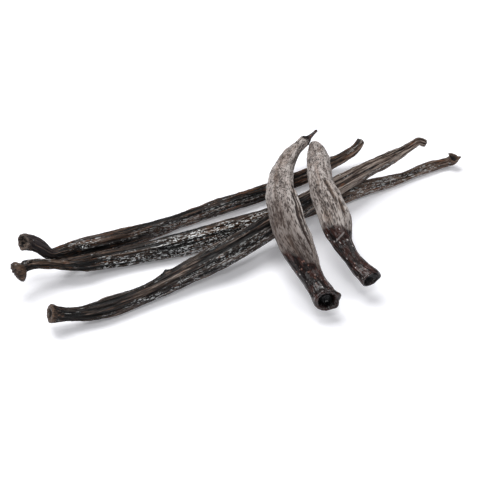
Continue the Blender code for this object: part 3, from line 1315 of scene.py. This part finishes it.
PODS = (
    Pod(
        name="pod_back",
        lie=(
            (-86.4, -24.2, 16.4, 6.4),
            (-82.0, -23.8, 15.4, 6.4),
            (-78.2, -24.6, 13.4, 5.4),
            (-75.0, -24.4, 10.5, 4.9),
            (-71.4, -22.1, 9.3, 6.2),
            (-66.4, -16.6, 7.0, 7.7),
            (-57.8, -13.4, 7.1, 8.1),
            (-50.8, -9.5, 6.2, 7.9),
            (-39.8, -2.2, 4.6, 6.9),
            (-26.0, 6.8, 3.6, 6.1),
            (-6.6, 18.0, 3.7, 7.2),
            (6.0, 25.2, 3.5, 6.8),
            (20.6, 34.6, 3.7, 6.3),
            (35.0, 44.4, 5.0, 5.5),
            (41.6, 48.6, 6.6, 4.5),
            (45.6, 51.6, 8.2, 3.9),
            (47.6, 54.2, 9.8, 3.3),
        ),
        foot=PodEnd(
            cup(1.5, 0.42),
            pulls=(
                Pull(70, 0.2, 0.5, 0.4, 1.8),
                Pull(150, 0.2, -0.4, -0.4, 1.4),
                Pull(240, 0.2, 0.4, 0.5, 1.8),
                Pull(320, 0.2, -0.3, -0.2, 1.6),
            ),
            turn_side=-36.0,
            turn_up=24.0,
            bumpy=0.06,
        ),
        tip=PodEnd(blunt(0.5), pulls=(Pull(20, 0.4, 0.5, 0.3, 1.0),)),
        furrow=0.17,
        twist=70.0,
        seed=3,
        skin=WaxySkin(
            "back_skin", 3.0, warm_least=0.55, grey_to=11.0, pitted=0.8,
            rim=linear(112, 98, 88), dusty_from=118.0, dusty=0.1,
            shines=(Shine(18, 38, 118, 24), Shine(44, 110, 150, 34, 0.35))),
        wrinkles=LONG_WRINKLES,
    ),
    Pod(
        name="pod_floor",
        lie=(
            (-87.0, -35.8, 13.6, 7.2),
            (-84.8, -34.6, 13.2, 6.4),
            (-83.0, -32.8, 12.4, 4.8),
            (-81.0, -31.2, 11.4, 4.3),
            (-77.0, -29.4, 10.1, 4.0),
            (-72.0, -28.1, 8.7, 4.1),
            (-64.8, -26.1, 7.4, 6.3),
            (-57.6, -21.8, 5.5, 7.6),
            (-42.8, -16.2, 4.4, 8.5),
            (-27.8, -11.0, 4.6, 9.8),
            (-10.4, -3.4, 4.7, 10.1),
            (7.4, 6.2, 4.4, 9.4),
            (24.0, 14.8, 3.9, 8.4),
            (43.0, 26.2, 3.3, 7.2),
            (55.8, 33.0, 2.8, 5.6),
            (64.0, 37.8, 2.3, 4.5),
            (72.6, 43.2, 2.5, 4.8),
            (78.0, 46.2, 2.4, 4.9),
            (83.8, 48.2, 2.5, 4.0),
            (86.7, 48.3, 2.9, 4.8),
            (88.4, 48.5, 4.7, 6.4),
        ),
        foot=PodEnd(
            CAPPED_KNOB,
            pulls=(Pull(250, 1.4, 1.0, -0.5, 2.6), Pull(60, 1.0, -0.3, 0.0, 1.8)),
            turn_up=-24.0,
            bumpy=0.04,
        ),
        tip=PodEnd(
            cup(1.6, 0.45),
            pulls=(Pull(262, 0.1, 1.0, 0.9, 1.5), Pull(75, 0.2, 0.5, 0.2, 1.5)),
            turn_side=-6.0,
            turn_up=36.0,
            bumpy=0.06,
        ),
        furrow=0.18,
        twist=-60.0,
        seed=11,
        skin=WaxySkin(
            "floor_skin", 21.0, lift=-0.04, dusty_from=124.0, dusty=0.24, rim=linear(88, 68, 54),
            shines=(Shine(30, 60, 175, 50), Shine(48, 116, 160, 70), Shine(136, 190, 150, 50, 0.55))),
        wrinkles=LONG_WRINKLES,
    ),
    Pod(
        name="pod_crossing",
        lie=(
            (-72.2, -54.6, 7.4, 7.3),
            (-69.2, -54.0, 6.8, 6.3),
            (-66.2, -53.4, 6.2, 5.4),
            (-61.2, -51.8, 5.0, 5.9),
            (-55.0, -48.8, 4.2, 7.1),
            (-48.2, -45.0, 4.0, 7.6),
            (-37.6, -38.6, 4.2, 7.5),
            (-23.2, -28.8, 5.6, 9.0),
            (-15.8, -24.2, 6.6, 10.0),
            (-8.2, -19.2, 7.8, 10.4),
            (3.2, -10.0, 9.2, 10.2),
            (19.2, 4.4, 10.8, 9.5),
            (36.2, 19.3, 11.4, 8.3),
            (48.0, 30.7, 11.0, 7.0),
            (59.0, 39.4, 11.3, 5.8),
            (64.2, 43.2, 12.0, 4.4),
            (68.2, 47.0, 12.3, 3.7),
            (71.4, 49.8, 12.4, 3.3),
            (74.4, 49.9, 11.3, 3.2),
        ),
        foot=PodEnd(
            cup(1.3, 0.74),
            pulls=(
                Pull(80, 0.4, 0.3, -0.3, 2.0),
                Pull(180, 0.2, 0.3, 0.3, 1.6),
                Pull(250, 0.3, 0.1, 0.2, 1.8),
            ),
            turn_side=-10.0,
            turn_up=9.0,
            bumpy=0.05,
        ),
        tip=PodEnd(blunt(0.5), pulls=(Pull(240, 0.8, 0.5, 0.1, 1.4),)),
        furrow=0.18,
        twist=55.0,
        seed=27,
        lumps=(Pull(56, 48.5, 3.0, 0.3, 1.5),),
        skin=WaxySkin(
            "crossing_skin", 47.0, warm_least=0.65, lift=-0.05, patchy=0.4, dusty_from=104.0, dusty=0.32,
            crest=linear(74, 61, 53), pale=linear(139, 126, 117),
            shines=(Shine(28, 64, 188, 28, 0.85), Shine(56, 94, 165, 44, 0.5))),
        wrinkles=LONG_WRINKLES,
    ),
    Pod(
        name="pod_top_left",
        lie=(
            (27.1, -49.6, 7.3, 9.4),
            (24.9, -44.6, 9.1, 8.4),
            (23.0, -41.4, 10.6, 8.2),
            (21.0, -38.6, 12.4, 9.0),
            (18.8, -35.0, 15.4, 10.5),
            (15.8, -30.2, 19.2, 11.9),
            (13.8, -24.4, 21.6, 12.5),
            (12.6, -16.3, 22.6, 12.2),
            (11.4, -4.5, 21.1, 11.4),
            (11.8, 12.7, 16.6, 10.0),
            (13.8, 32.4, 10.9, 8.3),
            (17.6, 43.2, 10.6, 6.3),
            (20.6, 48.7, 10.6, 5.0),
            (22.6, 51.3, 11.2, 4.2),
            (24.2, 52.7, 11.6, 2.6),
            (25.6, 53.9, 12.2, 1.8),
            (28.3, 56.4, 13.6, 1.2),
        ),
        foot=PodEnd(
            cup(3.0, 0.42),
            pulls=(
                Pull(165, 0.2, 0.9, 0.3, 2.2),
                Pull(20, 0.2, 0.4, 0.5, 2.4),
                Pull(95, 0.2, -0.3, -0.4, 2.6),
                Pull(225, 0.2, 0.7, 0.3, 2.2),
            ),
            turn_side=6.0,
            turn_up=32.0,
            bumpy=0.12,
        ),
        tip=PodEnd(blunt(0.3), pulls=(Pull(45, 8.5, 0.7, 0.6, 2.0), Pull(200, 8.0, 0.8, 0.4, 3.0))),
        furrow=0.08,
        twist=25.0,
        seed=41,
        skin=BloomSkin(
            "top_left_skin", 61.0, gloss_end=16.8, gloss_slant=1.2, shade=0.6, stem_start=112.5,
            rim=linear(66, 56, 56)),
        wrinkles=PLUMP_WRINKLES,
        folds=(Fold(20, 54, 128, 0.25), Fold(24, 62, 148, 0.3), Fold(16, 42, 166, 0.25)),
    ),
    Pod(
        name="pod_top_right",
        lie=(
            (44.4, -37.0, 8.9, 8.0),
            (40.0, -33.4, 10.6, 6.7),
            (37.3, -30.2, 12.6, 5.9),
            (34.0, -25.6, 15.6, 7.5),
            (31.8, -20.2, 19.0, 10.2),
            (30.8, -14.8, 21.0, 11.1),
            (29.2, -6.8, 22.0, 10.9),
            (27.8, 1.1, 21.6, 10.1),
            (27.2, 13.6, 20.0, 9.5),
            (28.0, 34.0, 13.3, 9.2),
            (28.0, 45.2, 10.6, 7.2),
            (27.0, 50.8, 9.4, 4.9),
            (26.0, 52.9, 8.7, 2.3),
        ),
        foot=PodEnd(
            cup(2.6, 0.32),
            pulls=(
                Pull(180, 0.2, 0.4, 0.2, 2.0),
                Pull(20, 0.2, 0.4, 0.3, 2.0),
                Pull(100, 0.2, -0.4, -0.3, 2.2),
            ),
            turn_side=20.0,
            turn_up=8.0,
            bumpy=0.12,
        ),
        tip=PodEnd(blunt(0.6)),
        furrow=0.08,
        twist=-30.0,
        seed=58,
        skin=BloomSkin(
            "top_right_skin", 83.0, gloss_end=22.5, gloss_slant=0.45, shade=0.12, stem_start=103.0,
            scratches=(Scratch((18.4, 3.6), (20.8, -0.9), 0.4),)),
        wrinkles=PLUMP_WRINKLES,
        folds=(Fold(30, 50, 96, 0.16), Fold(27, 41, 124, 0.2)),
        lumps=(Pull(172, 25.0, 0.9, 0.0, 9.0),),
    ),
)


class LightPlace(Enum):
    """Where a studio light stands."""

    BEHIND = "behind"
    LEFT = "left"
    RIGHT = "right"
    FRONT = "front"


@dataclass(frozen=True)
class SoftBox:
    """A soft studio light: azimuth and elevation in degrees, distance and size in metres."""

    place: LightPlace
    azimuth: float
    elevation: float
    distance: float
    size: tuple[float, float]
    watts: float

    def add(self) -> None:
        """Adds the light, aimed at the bundle."""
        azimuth, elevation = math.radians(self.azimuth), math.radians(self.elevation)
        away = Vector((
            math.cos(elevation) * math.sin(azimuth),
            math.cos(elevation) * math.cos(azimuth),
            math.sin(elevation),
        ))
        light = bpy.data.lights.new("softbox_" + self.place.value, "AREA")
        light.shape = "RECTANGLE"
        light.size, light.size_y = self.size
        light.energy = self.watts
        holder = bpy.data.objects.new(light.name, light)
        holder.location = away * self.distance
        holder.rotation_euler = away.to_track_quat("Z", "Y").to_euler()
        bpy.context.scene.collection.objects.link(holder)


@dataclass
class Studio:
    """The white floor, the soft lights and the camera."""

    floor_size: float = 3.0
    floor_colour: Colour = (0.92, 0.92, 0.95, 1.0)
    floor_shade: float = 0.97  # the darkest of its grain
    floor_grain: float = 900.0  # how many grains are in a metre
    floor_glow: float = 0.2
    sky: float = 0.24
    sky_colour: Colour = (0.95, 0.97, 1.0, 1.0)
    boxes: tuple[SoftBox, ...] = (
        SoftBox(LightPlace.BEHIND, -45.0, 68.0, 0.9, (0.6, 0.6), 7.4),
        SoftBox(LightPlace.LEFT, -85.0, 45.0, 0.9, (0.3, 0.3), 1.1),
        SoftBox(LightPlace.RIGHT, 85.0, 45.0, 0.9, (0.3, 0.3), 1.1),
        SoftBox(LightPlace.FRONT, 180.0, 60.0, 1.0, (0.25, 0.12), 1.5),
    )

    def add_floor(self) -> None:
        """Adds the pale floor under the bundle."""
        bpy.ops.object.select_all(action="DESELECT")
        bpy.ops.mesh.primitive_plane_add(size=self.floor_size, location=(0, 0, 0))
        floor = bpy.context.object
        floor.name = "floor"
        material, g = new_material("white_card")
        coords = Signal(g, g.add("ShaderNodeTexCoord").outputs["Object"])
        grain = g.signals("ShaderNodeTexNoise", {"Vector": coords, "Scale": self.floor_grain})[0]
        darker = tuple(self.floor_shade * part for part in self.floor_colour[:3]) + (1.0,)
        g.dress({
            "Base Color": g.mix(grain, darker, self.floor_colour),
            "Roughness": 0.85,
            "Specular IOR Level": 0.2,
            "Emission Color": self.floor_colour,
            "Emission Strength": self.floor_glow,
        })
        floor.data.materials.append(material)

    def add_light(self) -> None:
        """Adds the soft boxes and the even light all round."""
        for box in self.boxes:
            box.add()
        world = bpy.data.worlds.new("studio")
        world.use_nodes = True
        background = world.node_tree.nodes["Background"]
        background.inputs["Color"].default_value = self.sky_colour
        background.inputs["Strength"].default_value = self.sky
        bpy.context.scene.world = world
        bpy.context.scene.view_settings.view_transform = "Standard"

    def add_camera(self) -> None:
        """Adds the camera at the photograph's angle."""
        camera = bpy.data.cameras.new("camera")
        camera.lens = CAMERA_LENS
        camera.sensor_width = CAMERA_SENSOR
        camera.clip_start = 0.01
        holder = bpy.data.objects.new("camera", camera)
        back = Vector((0.0, -math.cos(CAMERA_ELEVATION), math.sin(CAMERA_ELEVATION)))
        holder.location = (CAMERA_TARGET + back * CAMERA_DISTANCE) * MM
        holder.rotation_euler = back.to_track_quat("Z", "Y").to_euler()
        bpy.context.scene.collection.objects.link(holder)
        bpy.context.scene.camera = holder

    def build(self) -> None:
        """Sets up the whole studio."""
        self.add_camera()
        self.add_floor()
        self.add_light()
        log.info("studio: %d soft boxes", len(self.boxes))


def main() -> None:
    """Builds the studio and every pod."""
    logging.basicConfig(level=logging.INFO, format="%(name)s: %(message)s")
    Studio().build()
    for pod in PODS:
        pod.build()


if __name__ == "__main__":
    main()
